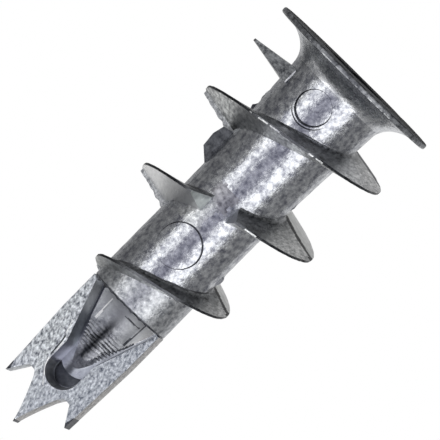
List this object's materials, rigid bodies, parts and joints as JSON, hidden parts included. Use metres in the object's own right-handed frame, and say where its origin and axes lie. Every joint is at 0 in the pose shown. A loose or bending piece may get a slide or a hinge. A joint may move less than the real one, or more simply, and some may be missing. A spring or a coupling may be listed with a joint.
{
  "type": "self-drilling drywall anchor",
  "caption": "One-piece die-cast hollow anchor with a round flange head, a coarse tapering auger thread and a flat three-point drill blade with a teardrop window.",
  "frame": {"origin": "centre of the head's outer face", "axes": "+Z along the anchor's axis, from the head to the drill points; -Y is the side of the blade with the window"},
  "size_m": [0.0136, 0.0134, 0.0331],
  "materials": {
    "zinc": "bright as-cast zinc alloy, mottled gloss on the barrel, grainy on the blade"
  },
  "bodies": {
    "root": {"anchor": "zinc"}
  },
  "joints": []
}
